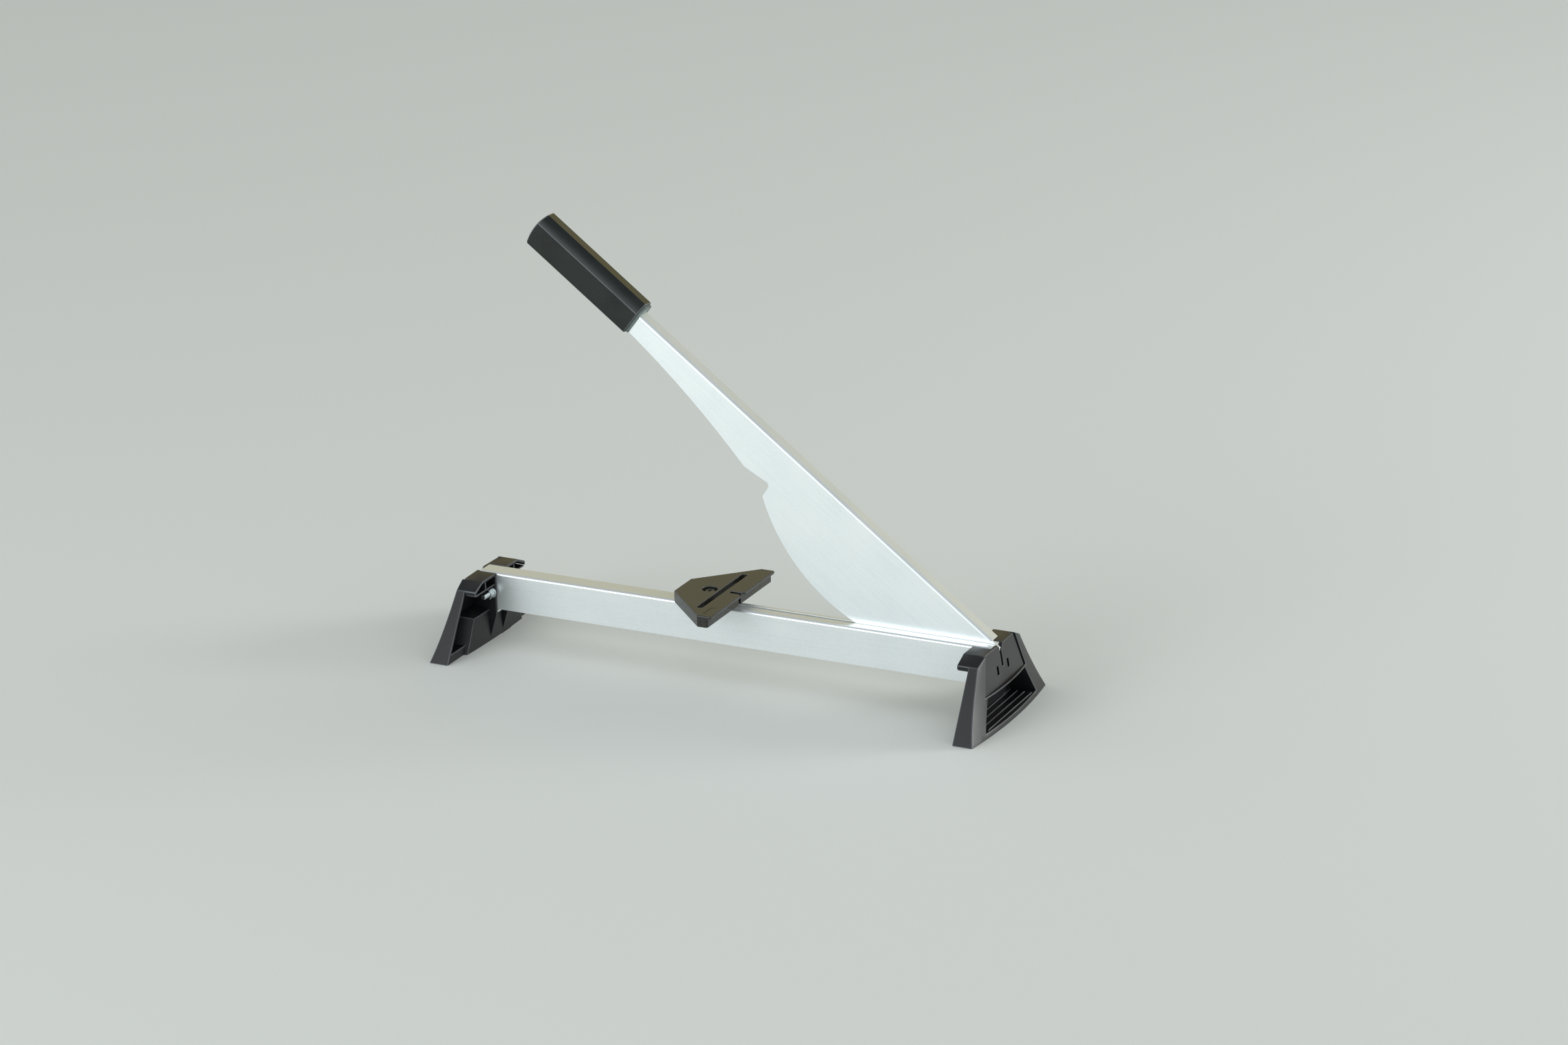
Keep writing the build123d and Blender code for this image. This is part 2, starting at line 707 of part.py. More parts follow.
# The stop's screw, washer and nut
with BuildPart() as stop_washer:
    with BuildSketch(Plane.XY.offset(screw_seat)):
        with Locations((swivel_x, foot_y)):
            Circle(screw_washer / 2)
            Circle(clear_bore / 2, mode=Mode.SUBTRACT)
    extrude(amount=washer_thickness)
finish(stop_washer, "stop_washer")

nut_top = deck_height - beam_sheet
head_seat = screw_seat + washer_thickness
with BuildPart() as stop_screw:
    with BuildSketch(Plane.XY.offset(nut_top - nut_height - screw_tail)):
        with Locations((swivel_x, foot_y)):
            Circle(screw_diameter / 2)
    extrude(amount=head_seat - nut_top + nut_height + screw_tail)
    with BuildSketch(Plane.XY.offset(head_seat)):
        with Locations((swivel_x, foot_y)):
            Circle(screw_head_diameter / 2)
    extrude(amount=screw_head_height)
    chamfer(stop_screw.edges().group_by(Axis.Z)[-1], screw_head_bevel)
    with BuildSketch(Plane.XY.offset(head_seat + screw_head_height)):
        with Locations((swivel_x, foot_y)):
            Rectangle(screw_cross_length, screw_cross_width)
            Rectangle(screw_cross_width, screw_cross_length)
    extrude(amount=-screw_cross_depth, mode=Mode.SUBTRACT)
finish(stop_screw, "stop_screw")

with BuildPart() as stop_nut:
    with BuildSketch(Plane.XY.offset(nut_top)):
        with Locations((swivel_x, foot_y)):
            RegularPolygon(head_flats / 2, hexagon_sides, major_radius=False)
            Circle(clear_bore / 2, mode=Mode.SUBTRACT)
    extrude(amount=-nut_height)
finish(stop_nut, "stop_nut")
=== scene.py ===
"""Looks for a laminate cutter: moulded feet and fence, plated beam, folded steel lever and its grip.

Run as a script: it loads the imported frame, registers its classes and calls the operators in order.
"""

import json
from math import cos, radians, sin

import bmesh
import bpy
from bpy.props import FloatProperty, FloatVectorProperty, PointerProperty
from bpy.types import Operator, Panel, PropertyGroup
from mathutils import Matrix, Vector


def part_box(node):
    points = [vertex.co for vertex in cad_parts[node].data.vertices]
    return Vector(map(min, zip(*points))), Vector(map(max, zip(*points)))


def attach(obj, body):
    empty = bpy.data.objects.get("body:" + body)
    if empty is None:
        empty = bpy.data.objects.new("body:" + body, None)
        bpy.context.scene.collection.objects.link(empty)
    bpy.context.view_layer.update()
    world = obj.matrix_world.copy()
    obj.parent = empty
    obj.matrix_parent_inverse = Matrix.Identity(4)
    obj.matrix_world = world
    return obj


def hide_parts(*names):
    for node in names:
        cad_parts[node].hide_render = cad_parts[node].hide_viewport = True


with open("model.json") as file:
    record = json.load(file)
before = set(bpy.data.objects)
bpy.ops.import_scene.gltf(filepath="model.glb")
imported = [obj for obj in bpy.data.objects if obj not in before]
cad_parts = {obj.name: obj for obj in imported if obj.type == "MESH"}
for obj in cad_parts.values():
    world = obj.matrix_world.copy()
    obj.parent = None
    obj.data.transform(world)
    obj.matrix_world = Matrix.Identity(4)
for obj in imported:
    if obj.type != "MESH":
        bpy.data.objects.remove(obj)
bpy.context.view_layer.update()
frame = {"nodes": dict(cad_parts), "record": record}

bl_info = {
    "name": "Laminate cutter looks",
    "version": (1, 0, 0),
    "blender": (4, 5, 0),
    "location": "3D View > Sidebar > Cutter",
    "description": "Dresses the packed laminate cutter with rounded mouldings, plated sheet and its grip",
    "category": "Object",
}

MM = 0.001

# How the meshes are cleaned and shaded
MERGE_CAD = 0.002 * MM
MERGE_TURNED = 0.001 * MM
FLAT_ANGLE = radians(0.6)
ROUNDED_ANGLE = radians(30)
SMOOTH_ANGLE = radians(38)

# Bolts and nuts lie along Y: how a new circle or cylinder is turned to lie so, and which way it grows
LYING = (radians(-90), 0, 0)
BACKWARD = Vector((0, 1, 0))
# Half the angle that a hexagon's side takes up, seen from its middle
HALF_SIDE = radians(30)


# Colour and node helpers

def linear(code):
    """An sRGB hex colour as linear red, green and blue."""
    values = []
    for start in (1, 3, 5):
        part = int(code[start:start + 2], 16) / 255
        values.append(part / 12.92 if part <= 0.04045 else ((part + 0.055) / 1.055) ** 2.4)
    return tuple(values)


def opaque(colour):
    """A colour with full alpha, as node sockets want it."""
    return (*colour[:3], 1.0)


def add_node(tree, kind, settings=None, inputs=None):
    """Adds a node, sets its properties and inputs, and links the inputs that are other nodes' outputs."""
    node = tree.nodes.new(kind)
    for name, value in (settings or {}).items():
        setattr(node, name, value)
    for name, value in (inputs or {}).items():
        if isinstance(value, bpy.types.NodeSocket):
            tree.links.new(value, node.inputs[name])
        else:
            node.inputs[name].default_value = value
    return node


def new_material(name):
    """A new material, its node tree and the shader that its surface is made with."""
    material = bpy.data.materials.new(name)
    material.use_nodes = True
    tree = material.node_tree
    tree.nodes.clear()
    shader = add_node(tree, "ShaderNodeBsdfPrincipled")
    add_node(tree, "ShaderNodeOutputMaterial", inputs={"Surface": shader.outputs["BSDF"]})
    return material, tree, shader


def draw_surface(tree, shader, pattern, tones, roughness, height, bump, depth):
    """Draws a pattern as two tones and as gloss on a shader, and the height of a finer one as relief.

    tones: the pattern's value and the colour of the dark and of the light tone.
    roughness: pairs of the pattern's value and the roughness there.
    """
    ramp = add_node(tree, "ShaderNodeValToRGB", inputs={"Fac": pattern})
    for element, (place, colour) in zip(ramp.color_ramp.elements, tones):
        element.position = place
        element.color = opaque(colour)
    tree.links.new(ramp.outputs["Color"], shader.inputs["Base Color"])
    (low, smoother), (high, rougher) = roughness
    rough = add_node(tree, "ShaderNodeMapRange",
                     inputs={"Value": pattern, "From Min": low, "From Max": high,
                             "To Min": smoother, "To Max": rougher})
    tree.links.new(rough.outputs["Result"], shader.inputs["Roughness"])
    relief = add_node(tree, "ShaderNodeBump", inputs={"Height": height, "Strength": bump, "Distance": depth})
    tree.links.new(relief.outputs["Normal"], shader.inputs["Normal"])


def moulded_plastic(name, dark, light, roughness, grain_mm, bump, gloss=0.5):
    """Injection-moulded plastic from a spark-eroded tool: a fine even grain that breaks up the sheen."""
    # How broad the slow changes of tone are, and how far the grain shows in tone and in relief
    cloud_mm, grain_share, grain_depth = 35, 0.5, 0.12 * MM
    plastic_ior = 1.5
    material, tree, shader = new_material(name)
    place = add_node(tree, "ShaderNodeTexCoord").outputs["Object"]
    grain = add_node(tree, "ShaderNodeTexNoise",
                     inputs={"Vector": place, "Scale": 1 / (grain_mm * MM), "Detail": 2.0, "Roughness": 0.6})
    cloud = add_node(tree, "ShaderNodeTexNoise",
                     inputs={"Vector": place, "Scale": 1 / (cloud_mm * MM), "Detail": 3.0, "Roughness": 0.5})
    mix = add_node(tree, "ShaderNodeMath", {"operation": "MULTIPLY_ADD"},
                   {0: grain.outputs["Fac"], 1: grain_share, 2: cloud.outputs["Fac"]})
    draw_surface(tree, shader, mix.outputs[0], ((0.5, dark), (1.0, light)),
                 ((0.45, roughness - 0.05), (1.05, roughness + 0.07)), grain.outputs["Fac"], bump, grain_depth)
    shader.inputs["IOR"].default_value = plastic_ior
    shader.inputs["Specular IOR Level"].default_value = gloss
    return material


def plated_sheet(name, dark, light, roughness, metallic, streak_mm, length_mm, speckle_mm, bump, turn=(0, 0, 0)):
    """Rolled steel sheet with a zinc plating: faint rolling lines, a fine speckle and soft cloudy patches.

    length_mm and streak_mm: how long and how broad a rolling line is, which lies along X after the turn.
    """
    # How broad the patches are, and how far the lines and the speckle show in tone and in relief
    cloud_mm, rolled_share, speckle_share, speckle_depth = 60, 0.35, 0.5, 0.05 * MM
    # The patches are calmed, so that they stay soft
    cloud_share, cloud_rest = 0.3, 0.35
    material, tree, shader = new_material(name)
    place = add_node(tree, "ShaderNodeTexCoord").outputs["Object"]
    along = add_node(tree, "ShaderNodeMapping", inputs={"Vector": place, "Rotation": turn})
    lines = add_node(tree, "ShaderNodeMapping",
                     inputs={"Vector": along.outputs["Vector"],
                             "Scale": (1 / (length_mm * MM), 1 / (streak_mm * MM), 1 / (streak_mm * MM))})
    rolled = add_node(tree, "ShaderNodeTexNoise",
                      inputs={"Vector": lines.outputs["Vector"], "Scale": 1.0, "Detail": 3.0, "Roughness": 0.6})
    speckle = add_node(tree, "ShaderNodeTexNoise",
                       inputs={"Vector": place, "Scale": 1 / (speckle_mm * MM), "Detail": 3.0, "Roughness": 0.65})
    cloud = add_node(tree, "ShaderNodeTexNoise",
                     inputs={"Vector": place, "Scale": 1 / (cloud_mm * MM), "Detail": 2.0, "Roughness": 0.45})
    faint = add_node(tree, "ShaderNodeMath", {"operation": "MULTIPLY_ADD"},
                     {0: cloud.outputs["Fac"], 1: cloud_share, 2: cloud_rest})
    both = add_node(tree, "ShaderNodeMath", {"operation": "MULTIPLY_ADD"},
                    {0: rolled.outputs["Fac"], 1: rolled_share, 2: faint.outputs[0]})
    mix = add_node(tree, "ShaderNodeMath", {"operation": "MULTIPLY_ADD"},
                   {0: speckle.outputs["Fac"], 1: speckle_share, 2: both.outputs[0]})
    draw_surface(tree, shader, mix.outputs[0], ((0.6, dark), (1.0, light)),
                 ((0.6, roughness - 0.04), (1.2, roughness + 0.06)), speckle.outputs["Fac"], bump, speckle_depth)
    shader.inputs["Metallic"].default_value = metallic
    return material


# Mesh helpers

def deselect():
    """Leaves object mode with nothing selected."""
    if bpy.context.object and bpy.context.object.mode != "OBJECT":
        bpy.ops.object.mode_set(mode="OBJECT")
    bpy.ops.object.select_all(action="DESELECT")


def activate(piece):
    """Makes a piece the only selected and the active one."""
    deselect()
    piece.select_set(True)
    bpy.context.view_layer.objects.active = piece


def cad_copy(node, name):
    """A merged copy of a CAD node's mesh, its flat faces joined again, as an object of its own."""
    mesh = frame["nodes"][node].data.copy()
    mesh.materials.clear()
    piece = bpy.data.objects.new(name, mesh)
    bpy.context.scene.collection.objects.link(piece)
    activate(piece)
    bpy.ops.object.mode_set(mode="EDIT")
    bpy.ops.mesh.select_all(action="SELECT")
    bpy.ops.mesh.remove_doubles(threshold=MERGE_CAD)
    bpy.ops.mesh.customdata_custom_splitnormals_clear()
    bpy.ops.mesh.dissolve_limited(angle_limit=FLAT_ANGLE)
    bpy.ops.object.mode_set(mode="OBJECT")
    return piece


def slab(name, low, high):
    """A block between two corners, to be fused to a piece or cut out of it."""
    deselect()
    low, high = Vector(low), Vector(high)
    bpy.ops.mesh.primitive_cube_add(size=1, location=(low + high) / 2)
    piece = bpy.context.object
    piece.name = name
    piece.scale = high - low
    bpy.ops.object.transform_apply(location=True, rotation=True, scale=True)
    return piece


def fuse(piece, other, operation="UNION"):
    """Fuses another closed piece to this one, or cuts this one by it, and removes the other."""
    activate(piece)
    work = piece.modifiers.new("Fuse", "BOOLEAN")
    work.operation = operation
    work.object = other
    work.solver = "EXACT"
    bpy.ops.object.modifier_apply(modifier=work.name)
    bpy.data.objects.remove(other)


def smooth(piece):
    """Shades a piece smooth except at its sharp edges."""
    activate(piece)
    bpy.ops.object.shade_smooth_by_angle(angle=SMOOTH_ANGLE)


def round_edges(piece, width, segments=2, weigh=None, slide=False):
    """Bevels a piece's outward edges, gives them the second material, a painted highlight, if there is one, and
    shades it smooth.

    A function named weigh may change the share of the width that an edge gets. Corners keep an even width
    unless they may slide along the edges that they meet.
    """
    activate(piece)
    mesh = bmesh.new()
    mesh.from_mesh(piece.data)
    weight = mesh.edges.layers.float.new("bevel_weight_edge")
    for edge in mesh.edges:
        if len(edge.link_faces) == 2:
            share = 1 if edge.calc_face_angle_signed(0) > ROUNDED_ANGLE else 0
            edge[weight] = weigh(edge, share) if weigh else share
    mesh.to_mesh(piece.data)
    mesh.free()
    bevel = piece.modifiers.new("Edges", "BEVEL")
    bevel.width = width
    bevel.segments = segments
    bevel.limit_method = "WEIGHT"
    bevel.use_clamp_overlap = False
    bevel.loop_slide = slide
    bevel.miter_outer = "MITER_ARC"
    bevel.material = len(piece.data.materials) - 1
    bpy.ops.object.modifier_apply(modifier=bevel.name)
    smooth(piece)
    even = piece.modifiers.new("Normals", "WEIGHTED_NORMAL")
    even.keep_sharp = True
    bpy.ops.object.modifier_apply(modifier=even.name)


def turned(name, centre, profile, closed=False, sides=24):
    """A turned piece: a circle drawn out backwards, with a radius at each place of the profile."""
    deselect()
    place, radius = profile[0]
    middle = Vector(centre) + BACKWARD * place
    bpy.ops.mesh.primitive_circle_add(vertices=sides, radius=radius, location=middle, rotation=LYING,
                                      fill_type="NOTHING" if closed else "NGON")
    piece = bpy.context.object
    piece.name = name
    bpy.ops.object.transform_apply(location=True, rotation=True, scale=True)
    bpy.ops.object.mode_set(mode="EDIT")
    bpy.ops.mesh.select_all(action="SELECT")
    for next_place, next_radius in profile[1:]:
        step = BACKWARD * (next_place - place)
        middle += step
        bpy.ops.mesh.extrude_region_move(TRANSFORM_OT_translate={"value": step})
        bpy.ops.transform.resize(value=(next_radius / radius,) * 3, center_override=middle)
        place, radius = next_place, next_radius
    bpy.ops.mesh.select_all(action="SELECT")
    bpy.ops.mesh.remove_doubles(threshold=MERGE_TURNED)
    bpy.ops.mesh.normals_make_consistent(inside=False)
    bpy.ops.object.mode_set(mode="OBJECT")
    return piece


def corner_radius(flats):
    """How far a hexagon's corners stand from its middle, from its breadth across flats."""
    return flats / 2 / cos(HALF_SIDE)


def hexagon(name, centre, flats, depth):
    """A hexagonal prism that grows backwards from its front face at the centre, with two corners along X."""
    deselect()
    bpy.ops.mesh.primitive_cylinder_add(vertices=6, radius=corner_radius(flats), depth=depth,
                                        location=Vector(centre) + BACKWARD * depth / 2, rotation=LYING)
    piece = bpy.context.object
    piece.name = name
    bpy.ops.object.transform_apply(location=True, rotation=True, scale=True)
    bpy.ops.object.mode_set(mode="EDIT")
    bpy.ops.mesh.select_all(action="SELECT")
    bpy.ops.transform.rotate(value=HALF_SIDE, orient_axis="Y", center_override=centre)
    bpy.ops.object.mode_set(mode="OBJECT")
    return piece


def joined(name, *pieces):
    """Several pieces as one object."""
    deselect()
    for piece in pieces:
        piece.select_set(True)
    bpy.context.view_layer.objects.active = pieces[0]
    bpy.ops.object.join()
    pieces[0].name = name
    return pieces[0]


def coat(piece, *materials):
    """Gives a piece its materials, the last of them for its rounded edges."""
    piece.data.materials.clear()
    for material in materials:
        piece.data.materials.append(material)


def settle(piece, body, slot, *nodes):
    """Gives a finished piece its body and hides the CAD nodes that it stands for; the slot is not used."""
    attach(piece, body)
    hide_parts(*nodes)


# Settings

def tone(name, description, code):
    """A colour setting with an sRGB hex default."""
    return FloatVectorProperty(name=name, description=description, size=3, subtype="COLOR", default=linear(code))


def length(name, description, default):
    """A size setting."""
    return FloatProperty(name=name, description=description, default=default, unit="LENGTH")


def power(name, description, default):
    """A lamp's power setting."""
    return FloatProperty(name=name, description=description, default=default, unit="POWER")


def angle(name, description, degrees):
    """An angle setting, from degrees."""
    return FloatProperty(name=name, description=description, default=radians(degrees), subtype="ANGLE")


class CutterStage(PropertyGroup):
    """Where the cutter is seen from and how it is lit."""
    lens: FloatProperty(name="Lens", description="Focal length of the camera, in millimetres", default=104.98)
    camera_place: FloatVectorProperty(name="Camera", description="Where the camera stands", size=3,
                                      subtype="TRANSLATION", unit="LENGTH", default=(1.774, -3.574, 1.543))
    camera_turn: angle("Turn", "How far the view turns left of the back", 25.710)
    camera_dip: angle("Dip", "How far the view looks down", 19.256)
    camera_roll: angle("Roll", "How far the frame is rolled", 0.848)
    floor_colour: tone("Floor", "Colour of the floor", "#f0f2ee")
    room_high: tone("Room, above", "Colour of the room overhead", "#94989b")
    room_front: tone("Room, front", "Colour of the room before the cutter", "#f2f9fa")
    room_back: tone("Room, back", "Colour of the backdrop behind the cutter", "#b8ad7c")
    room_strength: FloatProperty(name="Room light", description="Strength of the room's light", default=1.25)
    front_power: power("Front lamp", "Power of the low lamp at the front left", 62)
    back_power: power("Back lamp", "Power of the low lamp at the back right", 110)


class CutterSizes(PropertyGroup):
    """Edge roundings and small sizes of the cutter's pieces."""
    foot_round: length("Foot edges", "Edge rounding of the feet", 0.8 * MM)
    fence_round: length("Fence edges", "Edge rounding of the fence plate", 0.6 * MM)
    sheet_round: length("Sheet edges", "Edge rounding of the sheet metal", 0.25 * MM)
    grip_round: length("Grip edges", "Edge rounding of the grip's sleeve", 1.1 * MM)
    collar_round: length("Collar edges", "Edge rounding of the grip's collar", 0.5 * MM)
    small_round: length("Small edges", "Edge rounding of washers, spacers and pins", 0.2 * MM)
    thread_pitch: length("Thread pitch", "Distance between two crests of a bolt's thread", 1.0 * MM)
    thread_depth: length("Thread depth", "How deep a bolt's thread is cut", 0.5 * MM)
    nut_chamfer: length("Nut chamfer", "How far a nut's corners are turned down", 0.75 * MM)


class CutterColours(PropertyGroup):
    """Colours of the cutter's finishes."""
    foot_dark: tone("Foot, dark", "Darkest tone of the black moulding", "#131315")
    foot_light: tone("Foot, light", "Lightest tone of the black moulding", "#202023")
    # The edge tones are a painted highlight: lighter lines along the rounded edges of the feet, the fence plate and
    # the grip
    highlight_line_dark: tone("Edge, dark", "Darkest tone of a moulded edge", "#35383b")
    highlight_line_light: tone("Edge, light", "Lightest tone of a moulded edge", "#585c61")
    # The fence's tones are lighter and warmer than the feet's: a painted reflection of the warm room on its top
    fence_dark: tone("Fence, dark", "Darkest tone of the fence plate", "#24231f")
    fence_light: tone("Fence, light", "Lightest tone of the fence plate", "#36352e")
    grip_dark: tone("Grip, dark", "Darkest tone of the grip", "#131615")
    grip_light: tone("Grip, light", "Lightest tone of the grip", "#1f2423")
    core_dark: tone("Collar, dark", "Darkest tone of the grip's collar", "#4d5653")
    core_light: tone("Collar, light", "Lightest tone of the grip's collar", "#6a7672")
    beam_dark: tone("Beam, dark", "Darkest tone of the plated beam", "#e2e8ea")
    beam_light: tone("Beam, light", "Lightest tone of the plated beam", "#f0f4f5")
    steel_dark: tone("Blade, dark", "Darkest tone of the lever's sheet", "#e6eff2")
    steel_light: tone("Blade, light", "Lightest tone of the lever's sheet", "#f6fafb")
    screw_dark: tone("Screw, dark", "Darkest tone of the fence's screw", "#3a3c3d")
    screw_light: tone("Screw, light", "Lightest tone of the fence's screw", "#606365")
    bolt_dark: tone("Bolts, dark", "Darkest tone of the bolts", "#b4bcc0")
    bolt_light: tone("Bolts, light", "Lightest tone of the bolts", "#dde3e5")


# Steps

class CUTTER_OT_camera(Operator):
    """Sets the camera at the photograph's viewpoint"""
    bl_idname = "cutter.camera"
    bl_label = "Camera"

    # The sensor in millimetres, and how near and far the camera sees
    sensor_width = 36
    clip_start, clip_end = 0.05, 60

    def execute(self, context):
        stage = context.scene.cutter_stage
        deselect()
        bpy.ops.object.camera_add(location=stage.camera_place)
        camera = context.object
        camera.name = "Viewpoint"
        camera.data.lens = stage.lens
        camera.data.sensor_width = self.sensor_width
        camera.data.sensor_fit = "HORIZONTAL"
        camera.data.clip_start, camera.data.clip_end = self.clip_start, self.clip_end
        yaw, dip, roll = -stage.camera_turn, stage.camera_dip, stage.camera_roll
        ahead = Vector((sin(yaw) * cos(dip), cos(yaw) * cos(dip), -sin(dip)))
        right = Vector((cos(yaw), -sin(yaw), 0))
        down = ahead.cross(right)
        right, down = right * cos(roll) + down * sin(roll), down * cos(roll) - right * sin(roll)
        camera.rotation_euler = Matrix((right, -down, -ahead)).transposed().to_euler()
        context.scene.camera = camera
        return {"FINISHED"}


class CUTTER_OT_stage(Operator):
    """Adds the floor, the room's light and the lamps"""
    bl_idname = "cutter.stage"
    bl_label = "Stage"

    floor_size = 14
    floor_roughness = 0.9
    # What the lamps point at
    aim = Vector((0, 0, 0.15))
    # Between which slopes of a look backwards the backdrop fades in, and of a look upwards the room overhead
    fade_back = (-0.1, 0.7)
    fade_up = (0.2, 0.7)

    def execute(self, context):
        stage = context.scene.cutter_stage
        deselect()
        bpy.ops.mesh.primitive_plane_add(size=self.floor_size, location=(0, 0, 0))
        floor = context.object
        floor.name = "Floor"
        # Matt emulsion paint: flat and even, with no sheen to mirror the cutter
        material, _, shader = new_material("Matt painted board")
        shader.inputs["Base Color"].default_value = opaque(stage.floor_colour)
        shader.inputs["Roughness"].default_value = self.floor_roughness
        floor.data.materials.append(material)
        self.light_room(context.scene, stage)
        for name, place, energy, size, colour in (
                ("Front lamp", (-1.8, -3.9, 1.5), stage.front_power, 2.4, (0.94, 0.99, 1.0)),
                ("Back lamp", (3.6, 2.4, 0.7), stage.back_power, 1.6, (0.96, 0.98, 1.0))):
            bpy.ops.object.light_add(type="AREA", location=place)
            lamp = context.object
            lamp.name = name
            lamp.data.energy = energy
            lamp.data.size = size
            lamp.data.color = colour
            lamp.rotation_euler = (self.aim - Vector(place)).to_track_quat("-Z", "Y").to_euler()
        context.scene.view_settings.view_transform = "Standard"
        return {"FINISHED"}

    def light_room(self, scene, stage):
        """A plain room: pale all round at the front, dim overhead and a warm backdrop behind."""
        world = bpy.data.worlds.new("Room")
        scene.world = world
        world.use_nodes = True
        tree = world.node_tree
        tree.nodes.clear()
        toward = add_node(tree, "ShaderNodeTexCoord").outputs["Generated"]
        parts = add_node(tree, "ShaderNodeSeparateXYZ", inputs={"Vector": toward})
        behind = add_node(tree, "ShaderNodeMapRange", {"interpolation_type": "SMOOTHSTEP"},
                          {"Value": parts.outputs["Y"], "From Min": self.fade_back[0], "From Max": self.fade_back[1]})
        above = add_node(tree, "ShaderNodeMapRange", {"interpolation_type": "SMOOTHSTEP"},
                         {"Value": parts.outputs["Z"], "From Min": self.fade_up[0], "From Max": self.fade_up[1]})
        low = add_node(tree, "ShaderNodeMix", {"data_type": "RGBA"},
                       {"Factor": behind.outputs["Result"], 6: opaque(stage.room_front), 7: opaque(stage.room_back)})
        whole = add_node(tree, "ShaderNodeMix", {"data_type": "RGBA"},
                         {"Factor": above.outputs["Result"], 6: low.outputs[2], 7: opaque(stage.room_high)})
        light = add_node(tree, "ShaderNodeBackground",
                         inputs={"Color": whole.outputs[2], "Strength": stage.room_strength})
        add_node(tree, "ShaderNodeOutputWorld", inputs={"Surface": light.outputs["Background"]})


class CUTTER_OT_feet(Operator):
    """Rounds and grains the two moulded feet"""
    bl_idname = "cutter.feet"
    bl_label = "Feet"

    # The plates that close the hoods: how far inside the beam's end, off the foot's middle, and how high
    plate_mouth, plate_back = 17.6 * MM, 7.0 * MM
    plate_cheek, plate_lip = 13.2 * MM, 47.6 * MM
    plate_low, plate_high = 57.0 * MM, 58.8 * MM
    # The upright rib in each mouth
    rib_place, rib_half = 28.0 * MM, 0.9 * MM
    rib_low, rib_high = 58.0 * MM, 67.4 * MM
    # The part of the leaning face with the slit and the windows, and the share of the rounding that they keep
    cuts_middle, cuts_reach, cuts_low, cuts_start = 2.5 * MM, 17 * MM, 40 * MM, 256 * MM
    cuts_share = 1 / 3
    # The mouth around the beam
    mouth_reach, mouth_low, mouth_end = 14 * MM, 5 * MM, 254 * MM

    def execute(self, context):
        colours, sizes = context.scene.cutter_colours, context.scene.cutter_sizes
        # Black ABS from a spark-eroded tool: a dull even sheen with a fine grain, drawn a little coarse to show
        black = moulded_plastic("Moulded black ABS", colours.foot_dark, colours.foot_light,
                                roughness=0.36, grain_mm=0.9, bump=0.35, gloss=0.36)
        # Its edges get a lighter, smoother tone: a painted highlight line along each rounded edge
        painted_edge_highlight = moulded_plastic("Rubbed edges of black ABS", colours.highlight_line_dark, colours.highlight_line_light,
                                 roughness=0.34, grain_mm=1.6, bump=0.1)
        for node, way in (("foot_right", 1), ("foot_left", -1)):
            piece = cad_copy(node, node + "_moulding")
            for plate in self.hood_plates(node, way):
                fuse(piece, plate)
            coat(piece, black, painted_edge_highlight)
            round_edges(piece, sizes.foot_round, weigh=self.clean_cuts, slide=True)
            settle(piece, "frame", "black_plastic", node)
        return {"FINISHED"}

    def hood_plates(self, node, way):
        """The plates that close a hood from below and the upright rib in each of its two mouths."""
        beam_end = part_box("beam")[1][0]
        near, far = sorted(((beam_end - self.plate_mouth) * way, (beam_end - self.plate_back) * way))
        low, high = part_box(node)
        middle = (low[1] + high[1]) / 2
        for side in (-1, 1):
            start, end = sorted((self.plate_cheek * side, middle + self.plate_lip * side))
            yield slab("hood_plate", (near, start, self.plate_low), (far, end, self.plate_high))
            rib = middle + self.rib_place * side
            yield slab("hood_rib", (near, rib - self.rib_half, self.rib_low),
                       (far, rib + self.rib_half, self.rib_high))

    def clean_cuts(self, edge, share):
        """The slit and the windows keep crisper edges, and the mouth around the beam keeps square ones."""
        x, y, z = (edge.verts[0].co + edge.verts[1].co) / 2
        if abs(y - self.cuts_middle) < self.cuts_reach and z > self.cuts_low and abs(x) > self.cuts_start:
            return share * self.cuts_share
        if abs(y) < self.mouth_reach and z > self.mouth_low and abs(x) < self.mouth_end:
            return 0
        return share


